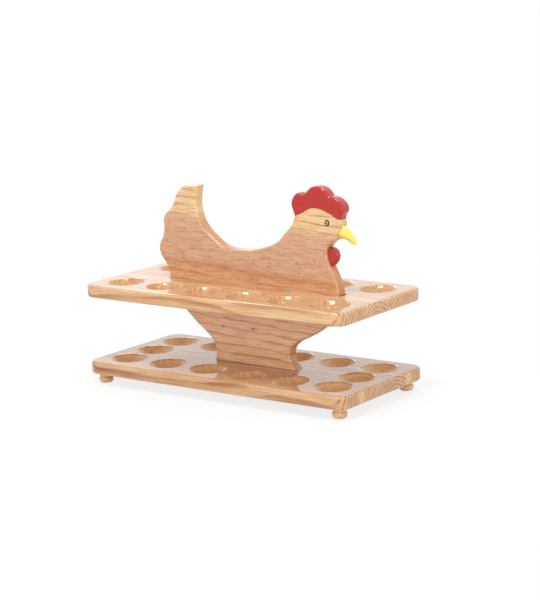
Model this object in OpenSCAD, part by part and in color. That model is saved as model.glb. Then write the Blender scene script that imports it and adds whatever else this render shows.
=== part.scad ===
// Two-tier wooden egg rack. A flat board sawn to the outline of a hen stands on the lower tray
// and passes through a slot in the upper one. Both trays carry rows of dished cups for eggs.
// X runs along the trays towards the hen's head, Y across them, Z up from the floor.

/* [Trays] */
// Length of each tray
tray_l = 356; // [350:1:400]
// Width of each tray
tray_w = 162; // [158:1:190]
// Thickness of each tray
tray_t = 15; // [14:0.5:20]
// Radius of the trays' corners, seen from above
tray_corner_r = 15; // [8:0.5:20]
// Rounding along the trays' top and bottom edges
tray_edge_r = 3; // [1.5:0.25:4]
// Clear height between the two trays
tier_gap = 74.5; // [70:0.5:95]

/* [Cups] */
// Diameter of a cup at the outside of its rounded lip
cup_d = 45.4; // [42:0.2:45.8]
// Depth of a cup
cup_depth = 10.5; // [7:0.25:11]
// Radius of a cup's rounded lip
cup_lip_r = 3; // [1.5:0.25:4]
// Distance between cups along the tray
cup_pitch = 56.5; // [54:0.5:58]
// Distance between cups across the tray
cup_row_pitch = 46.2; // [46:0.1:48]
// Number of cups in each long row
cup_columns = 6; // [4:2:6]

/* [Hen board] */
// Thickness of the board
board_t = 14; // [12:0.5:18]
// Reach of the breast ahead of the trays' middle, at the upper tray
hen_front = 125.8; // [118:0.2:132]
// Reach of the tail's root behind the trays' middle, at the upper tray
hen_rear = 109; // [100:0.5:116]
// Height of the comb's top above the upper tray
hen_rise = 118; // [105:0.5:135]
// Rounding along the board's edges
board_edge_r = 2.8; // [1.5:0.1:3.2]
// Play between the board and each end of the slot
slot_end_gap = 2; // [0.5:0.25:4]
// Play between the board and each side of the slot
slot_side_gap = 0.2; // [0.1:0.05:0.5]

/* [Wattle and beak] */
// Thickness of the wattle
wattle_t = 8; // [6:0.5:9]
// Rounding along the wattle's edges
wattle_edge_r = 2; // [1:0.25:2.5]
// Width of the beak where it meets the head
beak_w = 10.4; // [8:0.2:12]

/* [Eyes] */
// Diameter of an eye
eye_d = 6.8; // [5:0.2:9]
// Height of an eye's dome above the board
eye_dome_h = 1.1; // [0.6:0.1:1.6]
// Diameter of an eye's peg
eye_peg_d = 3; // [2:0.25:4]
// Length of an eye's peg
eye_peg_l = 5; // [3:0.25:5.5]

/* [Feet] */
// Height of a foot below the tray
foot_h = 11.5; // [9:0.5:16]
// Largest diameter of a foot's bun
foot_bun_d = 16.6; // [14:0.2:20]
// Diameter of the groove between the bun and the collar
foot_groove_d = 13.6; // [10:0.2:13.8]
// Diameter of the collar where it meets the tray
foot_collar_d = 17.2; // [14.4:0.2:20]
// Diameter of the flat that a foot stands on
foot_flat_d = 10.6; // [8:0.2:12]
// Diameter of a foot's tenon
foot_tenon_d = 8; // [6:0.5:9]
// Length of a foot's tenon
foot_tenon_l = 9; // [6:0.5:10]
// Distance from the tray's edges to the middle of a foot
foot_inset = 15.5; // [13:0.5:18]

/* [Dowels] */
// Radial play of every glued peg, dowel and tenon in its hole
dowel_play = 0.1; // [0.05:0.05:0.2]
// Diameter of the cross dowels that carry the upper tray
tray_dowel_d = 6; // [5:0.5:8]
// How far a cross dowel stands out of each face of the board
tray_dowel_out = 7; // [5:0.5:12]
// Diameter of the comb's dowels
comb_dowel_d = 4; // [3:0.5:5]
// Length of the comb's dowels
comb_dowel_l = 16; // [12:1:20]
// Diameter of the beak's dowel
beak_dowel_d = 3; // [2:0.5:4]
// Length of the beak's dowel
beak_dowel_l = 12; // [8:1:14]
// Diameter of the wattle's dowel
wattle_dowel_d = 2.5; // [2:0.5:3]
// Length of the wattle's dowel
wattle_dowel_l = 10; // [8:0.5:12]

/* [Base screws] */
// Diameter of a screw's head
screw_head_d = 8; // [6:0.5:9]
// Diameter of a screw's shank
screw_d = 4; // [3:0.25:4.5]
// Length of a screw
screw_l = 32; // [26:1:38]
// Radial play of a screw in the tray's hole
screw_play = 0.3; // [0.1:0.1:0.5]

/* [Hidden] */
$fn = 96;

// Colours, as in the photograph
pine = [0.86, 0.70, 0.53];
pink_pine = [0.84, 0.66, 0.52];
dowel_wood = [0.88, 0.76, 0.60];
red_paint = [0.76, 0.16, 0.14];
yellow_paint = [0.96, 0.85, 0.31];
eye_black = [0.10, 0.09, 0.08];
screw_steel = [0.72, 0.70, 0.64];

// Levels above the floor
lower_under = foot_h;
lower_top = lower_under + tray_t;
upper_under = lower_top + tier_gap;
upper_top = upper_under + tray_t;

// The cut that clears a face by this much leaves no skin behind
over = 1;

// Circle that the lip's circle touches from outside: the dished part of a cup
cup_touch = (pow(cup_d / 2, 2) + pow(cup_depth, 2)) / (2 * cup_depth);
cup_bowl_r = cup_touch - cup_lip_r;
// The bowl's cutter runs this far up inside the lip's, so that no skin is left between them
cup_overlap = 0.5;

// Cup places: two long rows, and on the lower tray one more cup between them at each end
cup_first_x = -cup_pitch * (cup_columns - 1) / 2;
row_cups = [
    for (side = [-1, 1]) for (i = [0 : cup_columns - 1]) [cup_first_x + i * cup_pitch, side * cup_row_pitch]
];
end_cups = [for (side = [-1, 1]) [side * cup_first_x, 0]];

// Foot places
foot_x = tray_l / 2 - foot_inset;
foot_y = tray_w / 2 - foot_inset;

// The hen's outline is drawn for these reaches and this rise, and stretches with the sizes above
drawn_front = 125.8;
drawn_rear = 109;
drawn_rise = 118;
function reach(x) = x * (x > 0 ? hen_front / drawn_front : hen_rear / drawn_rear);
function above(p) = [reach(p[0]), upper_top + p[1] * hen_rise / drawn_rise];
function between(p) = [reach(p[0]), lower_top + p[1] * tier_gap];

// Smooth curve through points: a cubic in each span, with slopes weighed by the spans' lengths
curve_step = 4;
function slope_at(p, i) =
    let (n = len(p) - 1)
    i == 0 ? (p[1] - p[0]) / norm(p[1] - p[0]) :
    i == n ? (p[n] - p[n - 1]) / norm(p[n] - p[n - 1]) :
    let (a = p[i] - p[i - 1], b = p[i + 1] - p[i], la = norm(a), lb = norm(b))
    (a * lb / la + b * la / lb) / (la + lb);
function span_point(p, i, t) =
    let (l = norm(p[i + 1] - p[i]), u = 1 - t)
    p[i] * (1 + 2 * t) * u * u + slope_at(p, i) * l * t * u * u
    + p[i + 1] * (3 - 2 * t) * t * t - slope_at(p, i + 1) * l * u * t * t;
// The last point is left out, because the next stretch starts there
function curve(p, step = curve_step) = [
    for (i = [0 : len(p) - 2])
        let (n = max(1, round(norm(p[i + 1] - p[i]) / step)))
        for (k = [0 : n - 1]) span_point(p, i, k / n)
];

// Outline stretches of the board, from the foot round the breast, head, back and tail
joint_ease = 0.3;
foot_rear = between([-48.3, 0]);
foot_fore = between([66, 0]);
breast_top = above([drawn_front, 1]);
belly = [
    foot_fore, between([60.5, 0.08]), between([57.5, 0.17]), between([57.3, 0.25]), between([60.3, 0.35]),
    between([67, 0.42]), between([80, 0.505]), between([95, 0.615]), between([109, 0.76]),
    between([119.5, 0.9]), above([124.9, -9]), breast_top, above([124.6, 9]),
    above([119, 23.5]), above([113.2, 34.5]), above([110.8, 44]), above([112.2, 51.5]),
    above([117, 57.3]), above([124.5, 61.8])
];
seat_low = above([124.5, 61.8]);
seat_high = above([130.4, 76.8]);
brow = [seat_high, above([131, 80]), above([129.7, 83.2])];
crown = [
    above([129.7, 83.2]), above([125.8, 84]), above([120, 87.2]), above([112, 91]), above([104, 93.4]),
    above([97, 94.1]), above([90, 93]), above([84, 89.8]), above([77, 86.3]), above([69.6, 83.9])
];
back = [
    above([69.6, 83.9]), above([66.4, 76]), above([55.2, 63.7]), above([46.5, 54.6]), above([36, 48.8]),
    above([19, 43.6]), above([1, 41]), above([-17, 40.6]), above([-30, 43]), above([-43.8, 51.6]),
    above([-56.8, 62.8]), above([-63.1, 73.5]), above([-66, 85]), above([-65.4, 97]), above([-63, 109.7])
];
tail = [
    above([-63, 109.7]), above([-76, 109.3]), above([-85.5, 107.6]), above([-91, 102.7]), above([-95.8, 97]),
    above([-97.7, 91]), above([-100.5, 86.2]), above([-106.5, 79.2]), above([-112.3, 74.5]),
    above([-115.3, 67.5]), above([-114.9, 58.5]), above([-116.9, 49.2]), above([-121.6, 41]),
    above([-123.2, 33.8]), above([-120.8, 25.5]), above([-114.9, 18.2]), above([-111.4, 11]), above([-109, 1])
];
haunch = [
    above([-109, 1]), above([-108.2, -9]), between([-103.8, 0.93]), between([-88.8, 0.735]),
    between([-75.4, 0.575]), between([-61.5, 0.435]), between([-52, 0.325]), between([-47.2, 0.21]),
    between([-46, 0.13]), foot_rear
];

// Stretches with the edge rounding that runs along each; the beak's seat keeps a flat as wide as the beak
seat_ease = min(board_edge_r, (board_t - beak_w) / 2);
board_stretches = [
    [curve(belly), board_edge_r], [[seat_low], seat_ease], [curve(brow), board_edge_r],
    [curve(crown), joint_ease], [curve(back), board_edge_r], [curve(tail), board_edge_r],
    [curve(haunch), board_edge_r], [[foot_rear], joint_ease]
];
function line_of(stretches) = [for (s = stretches) each s[0]];
function radii_of(stretches) = [for (s = stretches) for (q = s[0]) s[1]];

// The slot spans the board where it passes through the upper tray
slot_fore = hen_front + slot_end_gap;
slot_rear = -hen_rear - slot_end_gap;

// Comb: three lobes above the crown
comb_step = 2.6;
lobe_front = [
    above([129.7, 83.2]), above([131, 88]), above([133.6, 91.8]), above([134.2, 96]), above([132.4, 100]),
    above([128.6, 103.6]), above([123.4, 106.6]), above([115.6, 107.8])
];
lobe_middle = [
    above([115.6, 107.8]), above([113.4, 111.4]), above([109.6, 115]), above([104.6, 117.3]),
    above([98.5, 118]), above([93, 117]), above([88.6, 113.8]), above([84.2, 110.2]), above([78.2, 107.4])
];
lobe_rear = [
    above([78.2, 107.4]), above([75.8, 109.4]), above([72.4, 108.8]), above([68.4, 104.8]),
    above([65.9, 100]), above([65.6, 95]), above([67.6, 89.6]), above([69.6, 83.9])
];
function turned(p) = [for (i = [len(p) - 1 : -1 : 0]) p[i]];
comb_under = turned(crown);
comb_stretches = [
    [curve(lobe_front, comb_step), board_edge_r], [curve(lobe_middle, comb_step), board_edge_r],
    [curve(lobe_rear, comb_step), board_edge_r], [curve(comb_under), joint_ease]
];

// Wattle: a drop that runs back into the neck, where the board's outline copes it
wattle_step = 2.2;
wattle_line = [
    above([104, 52]), above([111.8, 52.2]), above([116.2, 51.6]), above([120.5, 49]), above([122.8, 44.4]),
    above([122.7, 39.9]), above([120.4, 35.2]), above([117.5, 31.4]), above([114.6, 27.8]), above([104, 30])
];
wattle_stretches = [[turned(curve(wattle_line, wattle_step)), wattle_edge_r]];

// Beak: upper and lower edges from the seat on the head to the tip, and half its width on the way
beak_ridge = [
    seat_high, above([136.4, 72.9]), above([140.6, 68.8]), above([143.5, 64.7]), above([145.7, 60.7]),
    above([147, 57.6])
];
beak_jaw = [
    seat_low, above([129.5, 62]), above([134.4, 60.4]), above([138.3, 58.4]), above([142, 56.8]),
    above([145.6, 56.4])
];
beak_half = [for (share = [1, 0.95, 0.82, 0.62, 0.4, 0.2]) share * beak_w / 2];
beak_sides = 20;
// Below 1 the beak's section draws in towards a diamond, as it is carved
beak_section = 0.8;

// Dowel, peg and screw places
seat_mid = (seat_low + seat_high) / 2;
seat_run = (seat_high - seat_low) / norm(seat_high - seat_low);
beak_dowel_tilt = atan2(seat_run[0], seat_run[1]);
wattle_dowel_at = above([111.4, 40]);
eye_at = above([112.8, 79.1]);
comb_rear_at = above([84, 89.8]);
comb_front_at = above([112, 91]);
tray_dowel_places = [reach(-82), reach(98)];
tray_dowel_z = upper_under - tray_dowel_d / 2;
screw_places = [reach(-26), reach(38)];
screw_head_sink = 0.6;
screw_head_h = (screw_head_d - screw_d) / 2;
screw_slot_w = 1.1;
screw_slot_l = 4.6;
screw_slot_h = 1.6;
screw_tip_h = 4;

// Unit normal that points out of the edge from a to b, where the outline runs anticlockwise
function outward(a, b) = let (t = (b - a) / norm(b - a)) [t[1], -t[0]];

// Step inwards from a corner that clears the edge before it by r1 and the edge after it by r2
function inward(n1, n2, r1, r2) =
    let (turn = n1[0] * n2[1] - n1[1] * n2[0])
    r1 == r2 ? -(n1 + n2) * r1 / (1 + n1 * n2) : -[r1 * n2[1] - r2 * n1[1], r2 * n1[0] - r1 * n2[0]] / turn;

// Slab of an upright outline with rounded edges, as rings of points from the back face to the front
round_steps = 3;
module rounded_slab(stretches, thickness) {
    p = line_of(stretches);
    r = radii_of(stretches);
    n = len(p);
    steps = [for (i = [0 : n - 1])
        let (h = (i + n - 1) % n) inward(outward(p[h], p[i]), outward(p[i], p[(i + 1) % n]), r[h], r[i])];
    back_rings = [for (k = [0 : round_steps]) let (a = 90 * k / round_steps) [for (i = [0 : n - 1])
        let (q = p[i] + steps[i] * (1 - sin(a)), fall = max(r[i], r[(i + n - 1) % n]) * (1 - cos(a)))
        [q[0], thickness / 2 - fall, q[1]]]];
    front_rings = [for (k = [round_steps : -1 : 0]) [for (q = back_rings[k]) [q[0], -q[1], q[2]]]];
    face = [for (q = back_rings[0]) [q[0], q[2]]];
    skin(concat(back_rings, front_rings), triangles(face, [for (i = [0 : n - 1]) i], 1, []));
}

// Closed skin over rings of equal length, with the triangles of one end given as places on a ring
module skin(rings, cap) {
    n = len(rings[0]);
    m = len(rings);
    sides = [
        for (k = [0 : m - 2]) for (i = [0 : n - 1])
            let (a = k * n + i, b = k * n + (i + 1) % n, c = a + n, d = b + n)
            each [[a, b, d], [a, d, c]]
    ];
    first = [for (t = cap) [t[2], t[1], t[0]]];
    last = [for (t = cap) [for (i = t) (m - 1) * n + i]];
    polyhedron([for (r = rings) each r], concat(sides, first, last), convexity = 6);
}

// Triangles of a closed anticlockwise outline, cut off one ear at a time
tiny = 0.000001;
function bend(a, b, c) = (b[0] - a[0]) * (c[1] - a[1]) - (b[1] - a[1]) * (c[0] - a[0]);
function covers(a, b, c, q) = bend(a, b, q) > -tiny && bend(b, c, q) > -tiny && bend(c, a, q) > -tiny;
function is_ear(p, left, i) =
    let (n = len(left), h = left[(i + n - 1) % n], j = left[(i + 1) % n], a = p[h], b = p[left[i]], c = p[j])
    let (inside = [for (k = left) if (k != h && k != j && k != left[i] && covers(a, b, c, p[k])) k])
    bend(a, b, c) > tiny && len(inside) == 0;
function next_ear(p, left, i) = is_ear(p, left, i) ? i : next_ear(p, left, (i + 1) % len(left));
function triangles(p, left, i, done) =
    let (n = len(left))
    n == 3 ? concat(done, [left]) :
    let (e = next_ear(p, left, i % n))
    triangles(p, [for (k = [0 : n - 1]) if (k != e) left[k]], e + 1,
        concat(done, [[left[(e + n - 1) % n], left[e], left[(e + 1) % n]]]));

// Plain upright slab of an outline, used as a cutter
module plain_slab(stretches, thickness) {
    translate([0, thickness / 2, 0]) rotate([90, 0, 0]) linear_extrude(thickness) polygon(line_of(stretches));
}

// Tray blank: a slab with round corners and half-round long edges, its underside at z = 0
module tray_blank() {
    corner_x = tray_l / 2 - tray_corner_r;
    corner_y = tray_w / 2 - tray_corner_r;
    inner_r = tray_corner_r - tray_edge_r;
    edge_x = tray_l / 2 - tray_edge_r;
    edge_y = tray_w / 2 - tray_edge_r;
    cube_at(2 * corner_x, 2 * edge_y, 0, tray_t);
    cube_at(2 * edge_x, 2 * corner_y, 0, tray_t);
    cube_at(2 * corner_x, tray_w, tray_edge_r, tray_t - tray_edge_r);
    cube_at(tray_l, 2 * corner_y, tray_edge_r, tray_t - tray_edge_r);
    for (sx = [-1, 1], sy = [-1, 1]) translate([sx * corner_x, sy * corner_y, 0]) {
        cylinder(h = tray_t, r = inner_r);
        translate([0, 0, tray_edge_r]) cylinder(h = tray_t - 2 * tray_edge_r, r = tray_corner_r);
        for (z = [tray_edge_r, tray_t - tray_edge_r])
            translate([0, 0, z]) rotate_extrude() translate([inner_r, 0]) circle(r = tray_edge_r, $fn = 32);
    }
    for (z = [tray_edge_r, tray_t - tray_edge_r]) {
        for (sy = [-1, 1]) translate([0, sy * edge_y, z]) rotate([0, 90, 0])
            cylinder(h = 2 * corner_x, r = tray_edge_r, center = true, $fn = 32);
        for (sx = [-1, 1]) translate([sx * edge_x, 0, z]) rotate([90, 0, 0])
            cylinder(h = 2 * corner_y, r = tray_edge_r, center = true, $fn = 32);
    }
}

module cube_at(l, w, low, high) {
    translate([-l / 2, -w / 2, low]) cube([l, w, high - low]);
}

// Cutter for one cup: a dished bowl that turns out over a rounded lip, its mouth at z = 0
module cup_cutter() {
    turn_r = cup_bowl_r * (cup_d / 2) / cup_touch;
    turn_z = -cup_lip_r * (1 - (cup_touch - cup_depth) / cup_touch);
    bowl_z = cup_bowl_r - cup_depth;
    rotate_extrude() {
        difference() {
            translate([0, turn_z]) square([cup_d / 2, over - turn_z]);
            translate([cup_d / 2, -cup_lip_r]) circle(r = cup_lip_r, $fn = 48);
        }
        intersection() {
            translate([0, bowl_z]) circle(r = cup_bowl_r, $fn = 144);
            translate([0, -cup_depth - over]) square([turn_r, cup_depth + over + turn_z + cup_overlap]);
        }
    }
}

module lower_tray() {
    color(pine) translate([0, 0, lower_under]) difference() {
        tray_blank();
        for (p = concat(row_cups, end_cups)) translate([p[0], p[1], tray_t]) cup_cutter();
        for (sx = [-1, 1], sy = [-1, 1]) translate([sx * foot_x, sy * foot_y, -over])
            cylinder(h = foot_tenon_l + dowel_play + over, d = foot_tenon_d + 2 * dowel_play);
        for (x = screw_places) translate([x, 0, 0]) {
            translate([0, 0, -over]) cylinder(h = tray_t + 2 * over, d = screw_d + 2 * screw_play);
            translate([0, 0, screw_head_sink])
                cylinder(h = screw_head_h, d1 = screw_head_d + 2 * screw_play, d2 = screw_d + 2 * screw_play);
            translate([0, 0, -over])
                cylinder(h = screw_head_sink + over, d = screw_head_d + 2 * screw_play);
        }
    }
}

module upper_tray() {
    slot_w = board_t + 2 * slot_side_gap;
    color(pine) translate([0, 0, upper_under]) difference() {
        tray_blank();
        for (p = row_cups) translate([p[0], p[1], tray_t]) cup_cutter();
        translate([slot_rear, -slot_w / 2, -over]) cube([slot_fore - slot_rear, slot_w, tray_t + 2 * over]);
    }
}

module hen_board() {
    color(pink_pine) difference() {
        rounded_slab(board_stretches, board_t);
        for (x = screw_places) translate([x, 0, lower_top - over])
            cylinder(h = screw_reach() + over, d = screw_d);
        for (x = tray_dowel_places) translate([x, 0, tray_dowel_z]) rotate([90, 0, 0])
            cylinder(h = board_t + 2 * over, d = tray_dowel_d + 2 * dowel_play, center = true);
        for (p = [comb_rear_at, comb_front_at]) upright_hole(p, comb_dowel_d, comb_dowel_l);
        beak_hole();
        wattle_hole();
        for (side = [-1, 1]) eye_hole(side);
    }
}

// How far a base screw reaches into the board
function screw_reach() = screw_head_sink + screw_l - tray_t;

module upright_hole(p, d, l) {
    translate([p[0], 0, p[1]]) cylinder(h = l + 2 * dowel_play, d = d + 2 * dowel_play, center = true);
}

module beak_hole() {
    translate([seat_mid[0], 0, seat_mid[1]]) rotate([0, 90 + beak_dowel_tilt, 0])
        cylinder(h = beak_dowel_l + 2 * dowel_play, d = beak_dowel_d + 2 * dowel_play, center = true);
}

module wattle_hole() {
    translate([wattle_dowel_at[0], 0, wattle_dowel_at[1]]) rotate([0, 90, 0])
        cylinder(h = wattle_dowel_l + 2 * dowel_play, d = wattle_dowel_d + 2 * dowel_play, center = true);
}

module eye_hole(side) {
    translate([eye_at[0], side * board_t / 2, eye_at[1]]) rotate([side * 90, 0, 0])
        translate([0, 0, -over]) cylinder(h = eye_peg_l + dowel_play + over, d = eye_peg_d + 2 * dowel_play);
}

module comb() {
    color(red_paint) difference() {
        rounded_slab(comb_stretches, board_t);
        for (p = [comb_rear_at, comb_front_at]) upright_hole(p, comb_dowel_d, comb_dowel_l);
    }
}

module wattle() {
    color(red_paint) difference() {
        rounded_slab(wattle_stretches, wattle_t);
        plain_slab(board_stretches, board_t);
        wattle_hole();
    }
}

module beak() {
    ridge = concat(curve(beak_ridge, comb_step), [beak_ridge[len(beak_ridge) - 1]]);
    stations = len(ridge) - 1;
    turns = [for (i = [0 : beak_sides - 1]) 360 * i / beak_sides];
    rings = [for (k = [0 : stations])
        let (
            s = k / stations * (len(beak_jaw) - 1), j = min(floor(s), len(beak_jaw) - 2),
            top = span_point(beak_ridge, j, s - j), low = span_point(beak_jaw, j, s - j),
            half = beak_half[j] + (beak_half[j + 1] - beak_half[j]) * (s - j),
            mid = (top + low) / 2, rise = (top - low) / 2
        )
        [for (a = turns)
            let (c = rounded_power(cos(a)), q = mid + rise * rounded_power(sin(a)))
            [q[0], half * c, q[1]]]];
    color(yellow_paint) difference() {
        skin(rings, [for (i = [1 : beak_sides - 2]) [0, i, i + 1]]);
        beak_hole();
    }
}

// A sine or cosine drawn towards a diamond section, with its sign kept
function rounded_power(v) = sign(v) * pow(abs(v), 1 / beak_section);

module eye(side) {
    dome_r = (pow(eye_d / 2, 2) + pow(eye_dome_h, 2)) / (2 * eye_dome_h);
    color(eye_black) translate([eye_at[0], side * board_t / 2, eye_at[1]]) rotate([-side * 90, 0, 0]) {
        intersection() {
            translate([0, 0, eye_dome_h - dome_r]) sphere(r = dome_r);
            cylinder(h = eye_dome_h + over, d = eye_d);
        }
        translate([0, 0, -eye_peg_l]) cylinder(h = eye_peg_l, d = eye_peg_d);
    }
}
module eye_front() { eye(-1); }
module eye_back() { eye(1); }

// Turned foot: a bun on a flat, a groove and a flared collar, with a tenon on top
module foot(sx, sy) {
    bun_z = 0.41 * foot_h;
    groove_z = 0.66 * foot_h;
    collar_low_z = 0.72 * foot_h;
    bun_arc = [for (a = [-90 : 15 : 0])
        [foot_flat_d / 2 + (foot_bun_d - foot_flat_d) / 2 * cos(a), bun_z + bun_z * sin(a)]];
    shoulder = [for (a = [15 : 15 : 75])
        [foot_groove_d / 2 + (foot_bun_d - foot_groove_d) / 2 * cos(a), bun_z + (groove_z - bun_z) * sin(a)]];
    collar = [
        [foot_groove_d / 2, groove_z], [foot_groove_d / 2, collar_low_z],
        [foot_groove_d / 2 + 0.6, collar_low_z + 0.3], [foot_collar_d / 2 - 0.3, foot_h - 0.8],
        [foot_collar_d / 2, foot_h]
    ];
    color(dowel_wood) translate([sx * foot_x, sy * foot_y, 0]) {
        rotate_extrude() polygon(concat([[0, 0]], bun_arc, shoulder, collar, [[0, foot_h]]));
        cylinder(h = foot_h + foot_tenon_l, d = foot_tenon_d);
    }
}
module foot_front_left() { foot(-1, -1); }
module foot_front_right() { foot(1, -1); }
module foot_back_left() { foot(-1, 1); }
module foot_back_right() { foot(1, 1); }

module tray_dowel(x) {
    color(dowel_wood) translate([x, 0, tray_dowel_z]) rotate([90, 0, 0])
        cylinder(h = board_t + 2 * tray_dowel_out, d = tray_dowel_d, center = true);
}
module tray_dowel_tail() { tray_dowel(tray_dowel_places[0]); }
module tray_dowel_breast() { tray_dowel(tray_dowel_places[1]); }

module comb_dowel(p) {
    color(dowel_wood) translate([p[0], 0, p[1]]) cylinder(h = comb_dowel_l, d = comb_dowel_d, center = true);
}
module comb_dowel_rear() { comb_dowel(comb_rear_at); }
module comb_dowel_front() { comb_dowel(comb_front_at); }

module beak_dowel() {
    color(dowel_wood) translate([seat_mid[0], 0, seat_mid[1]]) rotate([0, 90 + beak_dowel_tilt, 0])
        cylinder(h = beak_dowel_l, d = beak_dowel_d, center = true);
}

module wattle_dowel() {
    color(dowel_wood) translate([wattle_dowel_at[0], 0, wattle_dowel_at[1]]) rotate([0, 90, 0])
        cylinder(h = wattle_dowel_l, d = wattle_dowel_d, center = true);
}

// Countersunk screw driven up from below, with a cross recess in its head
module base_screw(x) {
    body_l = screw_l - screw_head_h - screw_tip_h;
    color(screw_steel) translate([x, 0, lower_under + screw_head_sink]) difference() {
        union() {
            cylinder(h = screw_head_h, d1 = screw_head_d, d2 = screw_d);
            translate([0, 0, screw_head_h]) cylinder(h = body_l, d = screw_d);
            translate([0, 0, screw_head_h + body_l]) cylinder(h = screw_tip_h, d1 = screw_d, d2 = screw_slot_w);
        }
        for (turn = [0, 90]) rotate([0, 0, turn]) translate([-screw_slot_l / 2, -screw_slot_w / 2, -over])
            cube([screw_slot_l, screw_slot_w, screw_slot_h + over]);
    }
}
module base_screw_tail() { base_screw(screw_places[0]); }
module base_screw_breast() { base_screw(screw_places[1]); }

lower_tray();
upper_tray();
hen_board();
comb();
wattle();
beak();
eye_front();
eye_back();
foot_front_left();
foot_front_right();
foot_back_left();
foot_back_right();
tray_dowel_tail();
tray_dowel_breast();
comb_dowel_rear();
comb_dowel_front();
beak_dowel();
wattle_dowel();
base_screw_tail();
base_screw_breast();
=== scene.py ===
import math

import bmesh
import bpy
from mathutils import Matrix, Vector


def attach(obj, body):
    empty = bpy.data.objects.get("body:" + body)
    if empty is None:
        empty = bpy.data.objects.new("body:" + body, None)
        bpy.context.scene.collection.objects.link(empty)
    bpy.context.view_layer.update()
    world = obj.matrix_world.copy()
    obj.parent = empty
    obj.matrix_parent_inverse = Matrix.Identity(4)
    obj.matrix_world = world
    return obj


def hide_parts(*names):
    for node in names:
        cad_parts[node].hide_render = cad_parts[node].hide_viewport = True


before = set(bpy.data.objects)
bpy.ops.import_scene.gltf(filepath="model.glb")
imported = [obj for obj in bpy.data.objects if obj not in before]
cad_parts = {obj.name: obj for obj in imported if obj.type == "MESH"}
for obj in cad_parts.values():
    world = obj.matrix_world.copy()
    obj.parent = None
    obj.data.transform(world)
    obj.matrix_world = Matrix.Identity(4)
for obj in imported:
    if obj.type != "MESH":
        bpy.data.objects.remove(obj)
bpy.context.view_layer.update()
scene = bpy.context.scene

# The lower tray is a pine board with rounded edges and corners, turned out into fourteen dished cups.
# The hen board stands on it, held by two countersunk screws, and the whole is sprayed with gloss varnish.
MM = 0.001
FULL_TURN = 2 * math.pi
tray_length, tray_width, tray_thick = 356, 162, 15
tray_corner, tray_edge = 15, 3
foot_height, tier_gap = 11.5, 74.5
lower_under = foot_height
lower_top = lower_under + tray_thick
upper_under = lower_top + tier_gap
upper_top = upper_under + tray_thick
cup_radius, cup_depth, cup_lip = 22.7, 10.5, 3
cup_pitch, cup_row = 56.5, 46.2
cup_steps, lip_steps, bowl_steps = 72, 6, 10
screw_places = (-26, 38)
screw_head_radius, screw_radius, screw_sink = 4, 2, 0.6
screw_play = 0.3


class Value:
    """A number or colour from a material's nodes. Arithmetic on it adds Math nodes."""

    def __init__(self, finish, socket):
        self.finish, self.socket = finish, socket

    def maths(self, operation, *numbers):
        return self.finish.node("ShaderNodeMath", {"operation": operation}, dict(enumerate(numbers)))

    def __add__(self, other):
        return self.maths("ADD", self, other)

    __radd__ = __add__

    def __sub__(self, other):
        return self.maths("SUBTRACT", self, other)

    def __rsub__(self, other):
        return self.maths("SUBTRACT", other, self)

    def __mul__(self, other):
        return self.maths("MULTIPLY", self, other)

    __rmul__ = __mul__

    def __truediv__(self, other):
        return self.maths("DIVIDE", self, other)

    def __pow__(self, other):
        return self.maths("POWER", self, other)

    def __abs__(self):
        return self.maths("ABSOLUTE", self)

    def fraction(self):
        return self.maths("FRACT", self)

    def rise(self, low, high):
        limits = {"Value": self, "From Min": low, "From Max": high}
        return self.finish.node("ShaderNodeMapRange", {"interpolation_type": "SMOOTHSTEP"}, limits)


class Nodes:
    """The one way in which nodes are added, for a material and for the world."""

    def __init__(self, owner):
        owner.use_nodes = True
        self.tree = owner.node_tree

    def node(self, kind, settings, sockets, out=0):
        made = self.tree.nodes.new(kind)
        for key, value in settings.items():
            if key == "stops":
                self.fill_ramp(made.color_ramp, value)
            else:
                setattr(made, key, value)
        for key, value in sockets.items():
            self.plug(made.inputs[key], value)
        return Value(self, made.outputs[out])

    def fill_ramp(self, ramp, stops):
        while len(ramp.elements) < len(stops):
            ramp.elements.new(1)
        for element, (position, colour) in zip(ramp.elements, stops):
            element.position, element.color = position, colour

    def plug(self, socket, value):
        if isinstance(value, Value):
            self.tree.links.new(value.socket, socket)
        else:
            socket.default_value = value


class Finish(Nodes):
    """A material whose textures lie in millimetres of the frame."""

    def __init__(self, name):
        self.material = bpy.data.materials.new(name)
        super().__init__(self.material)
        self.shader = self.tree.nodes["Principled BSDF"]
        self.metres = self.node("ShaderNodeTexCoord", {}, {}, "Object")
        scaled = {0: self.metres, "Scale": 1 / MM}
        self.place = self.node("ShaderNodeVectorMath", {"operation": "SCALE"}, scaled)

    def give(self, **sockets):
        for key, value in sockets.items():
            self.plug(self.shader.inputs[key.replace("_", " ")], value)

    def stretched(self, x, y, z):
        factors = {0: self.place, 1: (x, y, z)}
        return self.node("ShaderNodeVectorMath", {"operation": "MULTIPLY"}, factors)

    def noise(self, x, y, z, detail=2, w=0):
        sockets = {"Vector": self.stretched(x, y, z), "W": w, "Scale": 1, "Detail": detail}
        return self.node("ShaderNodeTexNoise", {"noise_dimensions": "4D"}, sockets)

    def axis(self, name):
        return self.node("ShaderNodeSeparateXYZ", {}, {0: self.place}, name)

    def blend(self, factor, first, second, way="MIX"):
        sockets = {0: factor, 6: first, 7: second}
        return self.node("ShaderNodeMix", {"data_type": "RGBA", "blend_type": way}, sockets, 2)

    def bump(self, height, depth):
        return self.node("ShaderNodeBump", {}, {"Height": height, "Strength": 1, "Distance": depth * MM})

    def varnish(self, colour, relief, depth, roughness):
        self.give(Base_Color=colour, Roughness=roughness, Normal=self.bump(relief, depth))
        self.give(Specular_IOR_Level=0.2, Coat_Weight=1, Coat_Roughness=0.03, Coat_IOR=1.5)


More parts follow.
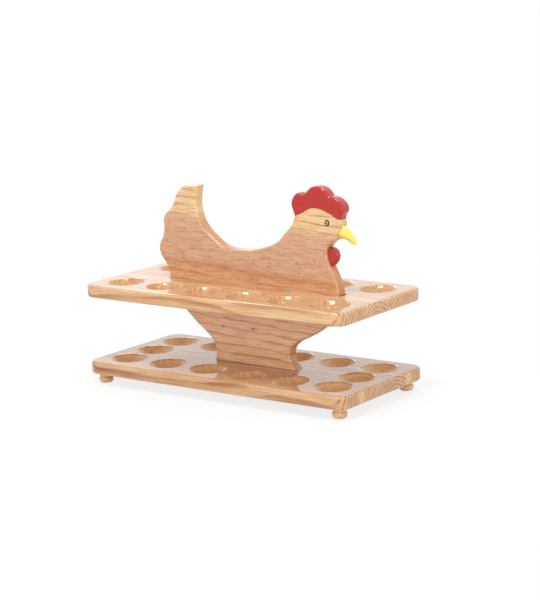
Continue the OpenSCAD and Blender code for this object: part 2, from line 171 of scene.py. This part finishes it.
def shade(red, green, blue):
    """A colour as it looks on a screen, from 0 to 255, as the light that the shader takes."""
    parts = [part / 255 for part in (red, green, blue)]
    return (*[p / 12.92 if p <= 0.04045 else ((p + 0.055) / 1.055) ** 2.4 for p in parts], 1)


def piece(name, mesh, finish, node, sharp=50):
    """A finished piece on the rack's one body, in place of its CAD node."""
    bmesh.ops.remove_doubles(mesh, verts=mesh.verts, dist=0.0005)
    bmesh.ops.recalc_face_normals(mesh, faces=mesh.faces)
    bmesh.ops.scale(mesh, vec=(MM, MM, MM), verts=mesh.verts)
    data = bpy.data.meshes.new(name)
    mesh.to_mesh(data)
    mesh.free()
    data.shade_smooth()
    data.set_sharp_from_angle(angle=math.radians(sharp))
    data.materials.append(finish.material)
    made = bpy.data.objects.new(name, data)
    scene.collection.objects.link(made)
    flats = made.modifiers.new("level flats", "WEIGHTED_NORMAL")
    flats.keep_sharp = True
    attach(made, "root")
    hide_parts(node)


def bevel(mesh, edges, offset, segments):
    bmesh.ops.bevel(mesh, geom=edges, offset=offset, offset_type="OFFSET", segments=segments,
                    profile=0.5, affect="EDGES", material=-1, clamp_overlap=False)


def turn_profile(mesh, points, steps, centre=(0, 0)):
    """Spins a line of (radius, height) points about an upright axis through centre."""
    verts = [mesh.verts.new((centre[0] + r, centre[1], z)) for r, z in points]
    edges = [mesh.edges.new(pair) for pair in zip(verts, verts[1:])]
    bmesh.ops.spin(mesh, geom=verts + edges, cent=(*centre, 0), axis=(0, 0, 1),
                   angle=FULL_TURN, steps=steps, use_merge=True)


def cup_profile(top):
    """From the flat over the rounded lip and down the bowl to its lowest point."""
    bowl = (cup_radius**2 + cup_depth**2) / (2 * cup_depth) - cup_lip
    lean = math.asin(cup_radius / (bowl + cup_lip))
    lip = [(cup_radius - cup_lip * math.sin(lean * k / lip_steps),
            top - cup_lip + cup_lip * math.cos(lean * k / lip_steps)) for k in range(lip_steps)]
    centre = top + bowl - cup_depth
    dish = [(bowl * math.sin(lean * k / bowl_steps), centre - bowl * math.cos(lean * k / bowl_steps))
            for k in range(bowl_steps, -1, -1)]
    return lip + dish


def tray_mesh(under, cups, slot=None, sinks=()):
    """A rounded slab whose flats are filled round the cups, the slot and the screws' countersinks."""
    mesh = bmesh.new()
    top = under + tray_thick
    bmesh.ops.create_cube(mesh, size=1)
    bmesh.ops.scale(mesh, vec=(tray_length, tray_width, tray_thick), verts=mesh.verts)
    bmesh.ops.translate(mesh, vec=(0, 0, (under + top) / 2), verts=mesh.verts)
    upright = [e for e in mesh.edges if abs(e.verts[0].co.z - e.verts[1].co.z) > 1]
    bevel(mesh, upright, tray_corner, 16)
    level = [e for e in mesh.edges if abs(e.verts[0].co.z - e.verts[1].co.z) < 1]
    bevel(mesh, level, tray_edge, 6)
    flats = sorted(mesh.faces, key=lambda f: f.calc_area())[-2:]
    bmesh.ops.delete(mesh, geom=flats, context="FACES_ONLY")
    for x, y in cups:
        turn_profile(mesh, cup_profile(top), cup_steps, (x, y))
    for x in sinks:
        wide, narrow = screw_head_radius + screw_play, screw_radius + screw_play
        deep = under + screw_sink
        hollow = [(wide, under), (wide, deep), (narrow, deep + wide - narrow), (narrow, top - 1), (0, top - 1)]
        turn_profile(mesh, hollow, 32, (x, 0))
    rings = []
    for height in (top, under):
        if slot:
            low, high = slot
            corners = ((low[0], low[1]), (high[0], low[1]), (high[0], high[1]), (low[0], high[1]))
            ring = [mesh.verts.new((x, y, height)) for x, y in corners]
            for start, end in zip(ring, ring[1:] + ring[:1]):
                mesh.edges.new((start, end))
            rings.append(ring)
        rim = [e for e in mesh.edges if len(e.link_faces) < 2
               and all(abs(v.co.z - height) < 0.01 for v in e.verts)]
        bmesh.ops.triangle_fill(mesh, use_beauty=True, use_dissolve=False, edges=rim)
    for one, two in zip(rings, rings[1:]):
        for i in range(len(one)):
            mesh.faces.new((one[i - 1], one[i], two[i], two[i - 1]))
    return mesh


def pine(finish, heart, ring, pale, late, wander=3.0, seed=0.0):
    """Growth rings round a wandering heart that runs along X, fine fibres and slow drifts of tone.
    Gives the colour, and how dark each spot is from 0 to 1."""
    drift_y = (finish.noise(0.004, 0.01, 0.01, w=seed) - 0.5) * wander * 6
    drift_z = (finish.noise(0.005, 0.02, 0.02, w=seed + 7) - 0.5) * wander * 4
    across = finish.axis("Y") - heart[0] + drift_y
    upward = finish.axis("Z") - heart[1] + drift_z
    radius = (across * across + upward * upward) ** 0.5
    ragged = (finish.noise(0.03, 0.5, 0.5, 3, w=seed + 3) - 0.5) * 0.12
    turn = (radius / ring + ragged).fraction()
    dark = turn.rise(0.3, 0.85) * (1 - turn.rise(0.9, 1.0))
    uneven = finish.noise(0.01, 0.16, 0.16, w=seed + 5).rise(0.3, 0.7)
    dark = dark * (0.25 + 0.75 * uneven)
    fibre = finish.noise(0.03, 1.3, 1.3, 5, w=seed + 1)
    tone = finish.noise(0.008, 0.04, 0.04, w=seed + 2)
    colour = finish.blend(dark, pale, late)
    colour = finish.blend(fibre.rise(0.42, 0.62) * 0.45, colour, shade(206, 150, 98), "MULTIPLY")
    colour = finish.blend(tone.rise(0.35, 0.7) * 0.3, colour, shade(236, 196, 156), "MULTIPLY")
    return colour, dark, fibre


def dished(finish, colour, bowl_tone_light_and_shade, strength, with_ends=False):
    """The turned cups show end grain, which takes up more of the varnish and goes golden brown; the tint also
    carries painted light and shade in the hollows, and patches of painted shade on the walls.
    """
    along = ((finish.axis("X") / cup_pitch + 3).fraction() - 0.5) * cup_pitch
    aside = abs(finish.axis("Y")) - cup_row
    away = (along * along + aside * aside) ** 0.5
    bowl = 1 - away.rise(cup_radius - 3.5, cup_radius - 1)
    if with_ends:
        end = abs(finish.axis("X")) - 2.5 * cup_pitch
        off = (end * end + finish.axis("Y") * finish.axis("Y")) ** 0.5
        bowl = bowl + (1 - off.rise(cup_radius - 3.5, cup_radius - 1))
    # Patches of painted shade darken the bowl walls, and the bowls take a tone that mixes end grain with
    # painted light and shade.
    painted_wall_shade = finish.noise(0.12, 0.5, 0.5, 4, w=17).rise(0.4, 0.62)
    colour = finish.blend(bowl * 0.55, colour, bowl_tone_light_and_shade)
    return finish.blend(bowl * painted_wall_shade * strength, colour, shade(206, 146, 92), "MULTIPLY")


pale_pine, late_pine = shade(226, 190, 144), shade(180, 122, 74)
# A darker copy of the tray pine for the lower tray: painted shade where it lies under the upper tray.
shaded_pine, shaded_late_pine = shade(216, 176, 132), shade(160, 106, 64)
row_cups = [((i - 2.5) * cup_pitch, side * cup_row) for side in (-1, 1) for i in range(6)]
end_cups = [(side * 2.5 * cup_pitch, 0) for side in (-1, 1)]
lower_pine = Finish("varnished pine, lower tray")
colour, dark, fibre = pine(lower_pine, (18, lower_under - 20), 4.6, shaded_pine, shaded_late_pine, seed=11)
# The lower cups are lightened to a pale tone: painted light in hollows that lie under the upper tray, with a
# little painted shade on their walls.
colour = dished(lower_pine, colour, shade(252, 208, 152), 0.12, True)
lower_pine.varnish(colour, fibre * 0.5 + dark * 0.5, 0.02, 0.35)
piece("lower_tray_board", tray_mesh(lower_under, row_cups + end_cups, sinks=screw_places),
      lower_pine, "lower_tray")

# The feet are turned from the same pine: a bun on a flat, a groove and a flared collar.
# Each is glued by a tenon into a blind hole near a corner of the lower tray.
foot_inset = 15.5
foot_profile = [
    (0, 0), (5.3, 0), (6.4, 0.35), (7.6, 1.5), (8.2, 3.0), (8.35, 4.7), (8.2, 5.7), (7.7, 6.6), (7.0, 7.2),
    (6.75, 7.55), (6.85, 7.9), (7.3, 8.15), (7.8, 8.8), (8.2, 9.9), (8.45, 11.0), (8.5, foot_height),
    (0, foot_height)
]
turned_pine = Finish("varnished pine, turned")
colour, dark, fibre = pine(turned_pine, (30, -40), 4.0, shade(238, 205, 158), shade(198, 146, 92), seed=23)
turned_pine.varnish(colour, fibre, 0.02, 0.3)
for side_x, end in ((-1, "left"), (1, "right")):
    for side_y, row in ((-1, "front"), (1, "back")):
        foot = bmesh.new()
        at = (side_x * (tray_length / 2 - foot_inset), side_y * (tray_width / 2 - foot_inset))
        turn_profile(foot, foot_profile, 48, at)
        piece(f"foot_{row}_{end}_turned", foot, turned_pine, f"foot_{row}_{end}", sharp=70)

# Two countersunk steel screws come up through the lower tray into the foot of the hen board.
# Only their heads show, from below, each with a cross recess.
screw_length, screw_tip, recess_half, recess_width, recess_deep = 32, 4, 2.3, 0.55, 1.6
screw_steel = Finish("zinc-plated steel")
brushed = screw_steel.noise(1.5, 1.5, 1.5, 3)
steel = screw_steel.blend(brushed, shade(200, 196, 182), shade(170, 166, 150))
screw_steel.give(Base_Color=steel, Metallic=1, Roughness=0.25 + brushed * 0.2)
for x, end in zip(screw_places, ("tail", "breast")):
    screw = bmesh.new()
    head = lower_under + screw_sink
    neck = head + screw_head_radius - screw_radius
    tip = head + screw_length
    shank = [(screw_head_radius, head), (screw_radius, neck),
             (screw_radius, tip - screw_tip), (0.4, tip), (0, tip)]
    turn_profile(screw, shank, 32, (x, 0))
    cross = []
    for quarter in range(4):
        turn = Matrix.Rotation(quarter * math.pi / 2, 3, "Z")
        for point in ((recess_half, -recess_width), (recess_half, recess_width), (recess_width, recess_width)):
            place = turn @ Vector((*point, 0))
            cross.append(screw.verts.new((x + place.x, place.y, head)))
    lines = [screw.edges.new(pair) for pair in zip(cross, cross[1:] + cross[:1])]
    rim = [e for e in screw.edges if e.is_boundary]
    bmesh.ops.triangle_fill(screw, use_beauty=True, use_dissolve=False, edges=rim + lines)
    sunk = bmesh.ops.extrude_edge_only(screw, edges=lines)
    floor_verts = [v for v in sunk["geom"] if isinstance(v, bmesh.types.BMVert)]
    bmesh.ops.translate(screw, vec=(0, 0, recess_deep), verts=floor_verts)
    bottom = [e for e in screw.edges if e.is_boundary]
    bmesh.ops.triangle_fill(screw, use_beauty=True, use_dissolve=False, edges=bottom)
    piece(f"base_screw_{end}_steel", screw, screw_steel, f"base_screw_{end}", sharp=30)

# The hen is a flat pine board sawn to her outline, its edges rounded over on both faces.
# It stands on the lower tray and runs up through the slot in the upper one, glued there.
board_thick, board_edge = 14, 2.8
line_step, comb_step, wattle_step = 4, 2.6, 2.2


def above(points):
    """Points given above the upper tray, as (x, z) on the board."""
    return [(x, upper_top + z) for x, z in points]


def between(points):
    """Points given as shares of the gap between the trays."""
    return [(x, lower_top + share * tier_gap) for x, share in points]


def smooth_line(points, step=line_step):
    """A smooth curve through the points; its last point is left to the next stretch."""
    spots = [Vector(p) for p in points]
    last = len(spots) - 1

    def lean(i):
        if i in (0, last):
            return (spots[min(i + 1, last)] - spots[max(i - 1, 0)]).normalized()
        before, after = spots[i] - spots[i - 1], spots[i + 1] - spots[i]
        a, b = before.length, after.length
        return (before * (b / a) + after * (a / b)) / (a + b)

    line = []
    for i in range(last):
        span = (spots[i + 1] - spots[i]).length
        count = max(1, round(span / step))
        for k in range(count):
            t, u = k / count, 1 - k / count
            line.append(spots[i] * ((1 + 2 * t) * u * u) + lean(i) * (span * t * u * u)
                        + spots[i + 1] * ((3 - 2 * t) * t * t) - lean(i + 1) * (span * u * t * t))
    return line


def sawn_slab(stretches, thickness, segments=6):
    """A slab cut to an anticlockwise outline of (line, edge radius) stretches, rounded over on both faces."""
    spots = [spot for line, edge in stretches for spot in line]
    radii = [edge for line, edge in stretches for spot in line]
    count = len(spots)
    outward = []
    for here, after in zip(spots, spots[1:] + spots[:1]):
        run = (after - here).normalized()
        outward.append(Vector((run.y, -run.x)))
    steps = []
    for i in range(count):
        a, b, ra, rb = outward[i - 1], outward[i], radii[i - 1], radii[i]
        if ra == rb:
            steps.append((a + b) * -ra / (1 + a.dot(b)))
        else:
            steps.append(Vector((rb * a.y - ra * b.y, ra * b.x - rb * a.x)) / a.cross(b))
    mesh = bmesh.new()
    rings = []
    for side in (1, -1):
        for k in range(segments + 1)[::side]:
            angle = math.pi / 2 * k / segments
            ring = []
            for i, (spot, step) in enumerate(zip(spots, steps)):
                inner = spot + step * (1 - math.sin(angle))
                fall = max(radii[i], radii[i - 1]) * (1 - math.cos(angle))
                ring.append(mesh.verts.new((inner.x, side * (thickness / 2 - fall), inner.y)))
            rings.append(ring)
    for one, two in zip(rings, rings[1:]):
        for i in range(count):
            mesh.faces.new((one[i - 1], one[i], two[i], two[i - 1]))
    flats = [mesh.faces.new(rings[0]), mesh.faces.new(rings[-1])]
    mesh.normal_update()
    bmesh.ops.triangulate(mesh, faces=flats, quad_method="BEAUTY", ngon_method="EAR_CLIP")
    return mesh


belly = smooth_line(
    between([(66, 0), (60.5, 0.08), (57.5, 0.17), (57.3, 0.25), (60.3, 0.35), (67, 0.42), (80, 0.505),
             (95, 0.615), (109, 0.76), (119.5, 0.9)])
    + above([(124.9, -9), (125.8, 1), (124.6, 9), (119, 23.5), (113.2, 34.5), (110.8, 44), (112.2, 51.5),
             (117, 57.3), (124.5, 61.8)])
)
seat = [Vector(p) for p in above([(124.5, 61.8)])]
brow = smooth_line(above([(130.4, 76.8), (131, 80), (129.7, 83.2)]))
crown_points = above([(129.7, 83.2), (125.8, 84), (120, 87.2), (112, 91), (104, 93.4), (97, 94.1), (90, 93),
                      (84, 89.8), (77, 86.3), (69.6, 83.9)])
crown = smooth_line(crown_points)
back = smooth_line(above([
    (69.6, 83.9), (66.4, 76), (55.2, 63.7), (46.5, 54.6), (36, 48.8), (19, 43.6), (1, 41), (-17, 40.6),
    (-30, 43), (-43.8, 51.6), (-56.8, 62.8), (-63.1, 73.5), (-66, 85), (-65.4, 97), (-63, 109.7)
]))
tail = smooth_line(above([
    (-63, 109.7), (-76, 109.3), (-85.5, 107.6), (-91, 102.7), (-95.8, 97), (-97.7, 91), (-100.5, 86.2),
    (-106.5, 79.2), (-112.3, 74.5), (-115.3, 67.5), (-114.9, 58.5), (-116.9, 49.2), (-121.6, 41),
    (-123.2, 33.8), (-120.8, 25.5), (-114.9, 18.2), (-111.4, 11), (-109, 1)
]))
haunch = smooth_line(
    above([(-109, 1), (-108.2, -9)])
    + between([(-103.8, 0.93), (-88.8, 0.735), (-75.4, 0.575), (-61.5, 0.435), (-52, 0.325), (-47.2, 0.21),
               (-46, 0.13), (-48.3, 0)])
)
heel = [Vector(p) for p in between([(-48.3, 0)])]
seat_edge, joint_edge = 1.8, 0.3
board_outline = [(belly, board_edge), (seat, seat_edge), (brow, board_edge), (crown, joint_edge),
                 (back, board_edge), (tail, board_edge), (haunch, board_edge), (heel, joint_edge)]


def height_ramp(finish, level, low, high, tones):
    """Colours at heights in millimetres above the floor."""
    stops = [((height - low) / (high - low), shade(*tone)) for height, tone in tones]
    return finish.node("ShaderNodeValToRGB", {"stops": stops}, {0: (level - low) / (high - low)})


def board_colour(finish):
    """Flat-sawn pine: a pale yellow head and tail over a pinker body with rows of resin specks."""
    x, z = finish.axis("X"), finish.axis("Z")
    sway = (finish.noise(0.012, 0.02, 0.02, 2, w=3) - 0.5) * 10 + x * 0.05
    level = z + sway
    colour = height_ramp(finish, level, 20, 240, [
        (20, (244, 204, 158)), (60, (238, 196, 156)), (98, (226, 182, 144)), (118, (226, 178, 130)),
        (128, (218, 166, 124)), (133, (204, 148, 112)), (139, (214, 172, 136)), (165, (212, 168, 134)),
        (182, (216, 174, 138)), (188, (224, 186, 142)), (192, (232, 200, 152)), (240, (234, 204, 158))
    ])
    wide = (level / 9.5 + (finish.noise(0.02, 0.1, 0.3, 3, w=9) - 0.5) * 0.5).fraction()
    lines = wide.rise(0.62, 0.94) * (1 - wide.rise(0.95, 1.0))
    calm = 1 - level.rise(120, 140) * (1 - level.rise(182, 192)) * 0.75
    lines = lines * calm * finish.noise(0.02, 0.1, 0.15, w=4).rise(0.3, 0.6)
    colour = finish.blend(lines * 0.85, colour, shade(186, 128, 84))
    fibre = finish.noise(0.05, 0.7, 0.9, 5, w=6)
    colour = finish.blend(fibre.rise(0.42, 0.62) * 0.6, colour, shade(224, 184, 146), "MULTIPLY")
    cells = {"Vector": finish.stretched(0.15, 0.1, 0.42), "Scale": 1.0, "Randomness": 1.0}
    spot = finish.node("ShaderNodeTexVoronoi", {"feature": "F1"}, cells)
    chosen = finish.noise(0.1, 0.1, 0.25, 1, w=8).rise(0.42, 0.54)
    body = level.rise(105, 120) * (1 - level.rise(176, 188))
    specks = (1 - spot.rise(0.13, 0.3)) * chosen * (0.1 + 0.9 * body)
    colour = finish.blend(specks * 0.75, colour, shade(146, 92, 58))
    for knot_x, knot_z, half in ((-33.8, 67.1, 1.9), (7.9, 67.9, 2.6)):
        along, up = (x - knot_x) / half, (z - knot_z) * (1.4 / 1.9)
        away = (along * along + up * up) ** 0.5
        colour = finish.blend((1 - away.rise(0.5, 1.3)) * 0.8, colour, shade(96, 58, 36))
        halo = (1 - away.rise(1.2, 4.5)) * (away * 1.1).fraction().rise(0.3, 0.8)
        colour = finish.blend(halo * 0.35, colour, shade(176, 118, 76))
    rim = 1 - abs(finish.axis("Y")).rise(5.2, 6.95)
    tint = finish.blend(level.rise(178, 196), shade(190, 126, 72), shade(226, 190, 136))
    colour = finish.blend(rim * 0.65, colour, tint)
    return colour, fibre, specks


hen_pine = Finish("varnished pine, hen board")
colour, fibre, specks = board_colour(hen_pine)
hen_pine.varnish(colour, fibre * 0.6 - specks, 0.02, 0.38)
piece("hen_board_sawn", sawn_slab(board_outline, board_thick), hen_pine, "hen_board")

# Two birch dowels cross the board just under the upper tray and carry it.
# They are driven through drilled holes and stand out on both faces.
birch = Finish("birch dowel")
colour, dark, fibre = pine(birch, (40, 60), 3.0, shade(232, 206, 166), shade(212, 176, 130), seed=31)
birch.give(Base_Color=colour, Roughness=0.5 + fibre * 0.1, Normal=birch.bump(fibre, 0.02))


def dowel(name, centre, direction, radius, length, ease=0.4):
    """A round pin with eased ends, laid along a direction."""
    mesh = bmesh.new()
    half = length / 2
    turn_profile(mesh, [(0, -half), (radius - ease, -half), (radius, ease - half), (radius, half - ease),
                        (radius - ease, half), (0, half)], 32)
    turn = Vector((0, 0, 1)).rotation_difference(Vector(direction)).to_matrix().to_4x4()
    bmesh.ops.transform(mesh, matrix=Matrix.Translation(centre) @ turn, verts=mesh.verts)
    piece(f"{name}_birch", mesh, birch, name)


tray_dowel_radius, tray_dowel_out = 3, 7
for x, end in ((-82, "tail"), (98, "breast")):
    dowel(f"tray_dowel_{end}", (x, 0, upper_under - tray_dowel_radius), (0, 1, 0), tray_dowel_radius,
          board_thick + 2 * tray_dowel_out)

# The upper tray is the lower one's twin with twelve cups, and a slot where the hen stands through it.
# It lies on the two dowels, and the slot is a little longer than the hen at both ends.
slot_side, slot_end = 0.2, 2
slot_low = (-109 - slot_end, -board_thick / 2 - slot_side)
slot_high = (125.8 + slot_end, board_thick / 2 + slot_side)
upper_pine = Finish("varnished pine, upper tray")
colour, dark, fibre = pine(upper_pine, (-12, upper_under - 14), 4.8, pale_pine, late_pine, seed=41)
# The upper cups are darkened towards golden brown: end-grain tone mixed with painted shade in the hollows and
# on the walls.
colour = dished(upper_pine, colour, shade(208, 156, 102), 0.35)
upper_pine.varnish(colour, fibre * 0.5 + dark * 0.5, 0.02, 0.35)
piece("upper_tray_board", tray_mesh(upper_under, row_cups, (slot_low, slot_high)),
      upper_pine, "upper_tray")

# The comb is sawn from the same stock, coped to the crown of the head, stained red and varnished.
# Two birch dowels hold it, and its lobes are rounded over like the board.
lobes = smooth_line(above([
    (129.7, 83.2), (131, 88), (133.6, 91.8), (134.2, 96), (132.4, 100), (128.6, 103.6), (123.4, 106.6),
    (115.6, 107.8)
]), comb_step) + smooth_line(above([
    (115.6, 107.8), (113.4, 111.4), (109.6, 115), (104.6, 117.3), (98.5, 118), (93, 117), (88.6, 113.8),
    (84.2, 110.2), (78.2, 107.4)
]), comb_step) + smooth_line(above([
    (78.2, 107.4), (75.8, 109.4), (72.4, 108.8), (68.4, 104.8), (65.9, 100), (65.6, 95), (67.6, 89.6),
    (69.6, 83.9)
]), comb_step)
under_comb = smooth_line(crown_points[::-1])
red_stain = Finish("red stain under gloss varnish")
grain = red_stain.noise(0.03, 0.8, 0.8, 4, w=2)
streak = red_stain.noise(0.015, 0.25, 0.35, 2, w=5)
colour = red_stain.blend(grain.rise(0.35, 0.75) * 0.5, shade(184, 30, 18), shade(156, 22, 16))
colour = red_stain.blend(streak.rise(0.5, 0.8) * 0.35, colour, shade(192, 50, 30))
red_stain.varnish(colour, grain, 0.02, 0.3)
piece("comb_sawn", sawn_slab([(lobes, board_edge), (under_comb, joint_edge)], board_thick),
      red_stain, "comb")
for x, z, end in ((84, 89.8, "rear"), (112, 91, "front")):
    dowel(f"comb_dowel_{end}", (x, 0, upper_top + z), (0, 0, 1), 2, 16)

# The wattle is a small red drop glued to the front of the neck, with a dowel into it.
# It is thinner than the board and rounded over all round.
wattle_thick, wattle_edge = 8, 2
neck_low, neck_high = upper_top + 29.3, upper_top + 51.9
neck = [spot for spot in belly if neck_low < spot.y < neck_high and spot.x < 121][::-1]
drop = smooth_line([tuple(neck[-1])] + above([
    (115.8, 31.0), (118.1, 33.2), (120.9, 36.6), (122.6, 40.4), (122.8, 44.6), (120.6, 49), (116.6, 51.6)
]) + [tuple(neck[0])], wattle_step)
piece("wattle_sawn", sawn_slab([(drop, wattle_edge), (neck[:-1], joint_edge)], wattle_thick),
      red_stain, "wattle")
dowel("wattle_dowel", (111.4, 0, upper_top + 40), (1, 0, 0), 1.25, 10, 0.2)

# The beak is carved from a block, painted yellow and varnished, with a soft ridge down each cheek.
# It sits flat on the front of the head over a dowel.
ridge = above([(130.4, 76.8), (136.4, 72.9), (140.6, 68.8), (143.5, 64.7), (145.7, 60.7), (147, 57.6)])
jaw = above([(124.5, 61.8), (129.5, 62), (134.4, 60.4), (138.3, 58.4), (142, 56.8), (145.6, 56.4)])
beak_half = 5.2
half_shares = (1, 0.95, 0.82, 0.62, 0.4, 0.2)
stations, sides, section = 24, 40, 0.8
ridge_line, jaw_line = smooth_line(ridge, 0.5), smooth_line(jaw, 0.5)


def along(points, share):
    """The spot at that share of the way along a polyline's points, counted by number."""
    spot = share * (len(points) - 1)
    i = min(int(spot), len(points) - 2)
    return Vector(points[i]).lerp(Vector(points[i + 1]), spot - i)


beak = bmesh.new()
bmesh.ops.create_grid(beak, x_segments=sides, y_segments=stations, size=0.5)
for vert in beak.verts:
    angle, share = (vert.co.x + 0.5) * FULL_TURN, vert.co.y + 0.5
    top, low = along(ridge_line, share), along(jaw_line, share)
    across, upward = math.cos(angle), math.sin(angle)
    across, upward = (math.copysign(abs(v) ** (1 / section), v) for v in (across, upward))
    spot = (top + low) / 2 + (top - low) / 2 * upward
    half = beak_half * along([(s, 0) for s in half_shares], share).x
    vert.co = (spot.x, half * across, spot.y)
bmesh.ops.remove_doubles(beak, verts=beak.verts, dist=0.001)
bmesh.ops.holes_fill(beak, edges=[e for e in beak.edges if e.is_boundary], sides=0)
yellow_paint = Finish("yellow paint under gloss varnish")
brushing = yellow_paint.noise(0.25, 0.5, 0.25, 3, w=1)
colour = yellow_paint.blend(brushing.rise(0.35, 0.7), shade(250, 224, 108), shade(244, 208, 84))
yellow_paint.varnish(colour, brushing, 0.05, 0.3)
piece("beak_carved", beak, yellow_paint, "beak", sharp=60)
seat_low, seat_high = Vector((124.5, 0, upper_top + 61.8)), Vector((130.4, 0, upper_top + 76.8))
seat_run = (seat_high - seat_low).normalized()
dowel("beak_dowel", (seat_low + seat_high) / 2, (seat_run.z, 0, -seat_run.x), 1.5, 12, 0.2)

# Each eye is a domed black bead with a cream ring painted round its pupil.
# Its peg is glued into a hole in the face of the board.
eye_at = (112.8, upper_top + 79.1)
eye_radius, eye_dome, peg_radius, peg_length = 3.4, 1.1, 1.5, 5
ring_inner, ring_outer = 1.15, 2.1
dome_radius = (eye_radius**2 + eye_dome**2) / (2 * eye_dome)
dome_steps = 10
bead = Finish("black bead with a cream ring")
off_x, off_z = bead.axis("X") - eye_at[0], bead.axis("Z") - eye_at[1]
away = (off_x * off_x + off_z * off_z) ** 0.5
wobble = (bead.noise(1.2, 1.2, 1.2, 2) - 0.5) * 0.25
painted = (away + wobble).rise(ring_inner - 0.1, ring_inner + 0.1)
painted = painted * (1 - (away + wobble).rise(ring_outer - 0.1, ring_outer + 0.1))
colour = bead.blend(painted, shade(26, 20, 16), shade(214, 184, 142))
bead.varnish(colour, painted, 0.03, 0.25)
bead.give(Coat_Weight=0.4)
for side, row in ((-1, "front"), (1, "back")):
    eye = bmesh.new()
    face = board_thick / 2
    lean = math.asin(eye_radius / dome_radius)
    centre = face + eye_dome - dome_radius
    leans = [lean * k / dome_steps for k in range(dome_steps + 1)]
    dome = [(dome_radius * math.sin(a), centre + dome_radius * math.cos(a)) for a in leans]
    peg = [(peg_radius, face), (peg_radius, face - peg_length), (0, face - peg_length)]
    turn_profile(eye, dome + peg, 48)
    stand = Matrix.Rotation(-side * math.pi / 2, 4, "X")
    bmesh.ops.transform(eye, matrix=Matrix.Translation((eye_at[0], 0, eye_at[1])) @ stand, verts=eye.verts)
    piece(f"eye_{row}_bead", eye, bead, f"eye_{row}")

# A white paper floor, lit from a softbox overhead and a lamp behind on the left.
# The camera looks from the height and side of the photograph.
floor_reach, floor_glow, glow_near, glow_far = 12, 0.8, 0.25, 0.9
floor_mirrored, fill_light = 0.8, 0.8


def ray_kinds(nodes):
    """1 or 0 for what the camera sees, and 1 or 0 for what the varnish mirrors."""
    return [nodes.node("ShaderNodeLightPath", {}, {}, f"Is {kind} Ray") for kind in ("Camera", "Glossy")]


paper = Finish("white paper")
paper.give(Base_Color=(0.9, 0.9, 0.9, 1), Roughness=1, Specular_IOR_Level=0)
away = paper.node("ShaderNodeVectorMath", {"operation": "LENGTH"}, {0: paper.metres}, "Value")
camera_ray, glossy_ray = ray_kinds(paper)
glowing = camera_ray * (floor_glow + away.rise(glow_near, glow_far) * (1 - floor_glow)) + glossy_ray
strength = 1 - glossy_ray * (1 - floor_mirrored)
glow = paper.node("ShaderNodeEmission", {}, {"Color": (1, 1, 1, 1), "Strength": strength})
lit = Value(paper, paper.shader.outputs[0])
mixed = paper.node("ShaderNodeMixShader", {}, {0: glowing, 1: lit, 2: glow})
paper.plug(paper.tree.nodes["Material Output"].inputs["Surface"], mixed)
floor_mesh = bmesh.new()
bmesh.ops.create_grid(floor_mesh, x_segments=1, y_segments=1, size=floor_reach)
floor_data = bpy.data.meshes.new("floor")
floor_mesh.to_mesh(floor_data)
floor_mesh.free()
floor_data.materials.append(paper.material)
floor = bpy.data.objects.new("floor", floor_data)
scene.collection.objects.link(floor)

world = bpy.data.worlds.new("white room")
scene.world = world
room = Nodes(world)
backdrop = room.tree.nodes["Background"]
room.plug(backdrop.inputs["Color"], (1, 1, 1, 1))
camera_ray, glossy_ray = ray_kinds(room)
room.plug(backdrop.inputs["Strength"], (camera_ray + glossy_ray) * (1 - fill_light) + fill_light)


def softbox(name, place, aim, width, power):
    lamp = bpy.data.lights.new(name, "AREA")
    lamp.shape, lamp.size, lamp.energy = "SQUARE", width, power
    held = bpy.data.objects.new(name, lamp)
    held.location = place
    held.rotation_euler = (Vector(aim) - Vector(place)).to_track_quat("-Z", "Y").to_euler()
    scene.collection.objects.link(held)


softbox("overhead softbox", (0.15, -0.35, 1.2), (0, 0, 0.1), 0.35, 6)
softbox("front right fill", (1.15, -1.25, 0.3), (0, 0, 0.06), 0.5, 5)
softbox("rear left lamp", (-1.0, 0.9, 0.9), (0, 0, 0.12), 0.3, 3)

azimuth, elevation, roll = math.radians(36.684), math.radians(11.778), math.radians(-2.171)
target, distance = Vector((27.86, 0, 101.59)) * MM, 2082.1 * MM
sensor, focal = 36, 112.47
towards = Vector((math.sin(azimuth) * math.cos(elevation), -math.cos(azimuth) * math.cos(elevation),
                  math.sin(elevation)))
level_right = Vector((math.cos(azimuth), math.sin(azimuth), 0))
level_up = towards.cross(level_right)
right = level_right * math.cos(roll) + level_up * math.sin(roll)
upward = level_up * math.cos(roll) - level_right * math.sin(roll)
lens = bpy.data.cameras.new("camera")
lens.sensor_width, lens.lens = sensor, focal
camera = bpy.data.objects.new("camera", lens)
turn = Matrix((right, upward, towards)).transposed().to_4x4()
camera.matrix_world = Matrix.Translation(target + towards * distance) @ turn
scene.collection.objects.link(camera)
scene.camera = camera
scene.view_settings.view_transform = "Standard"
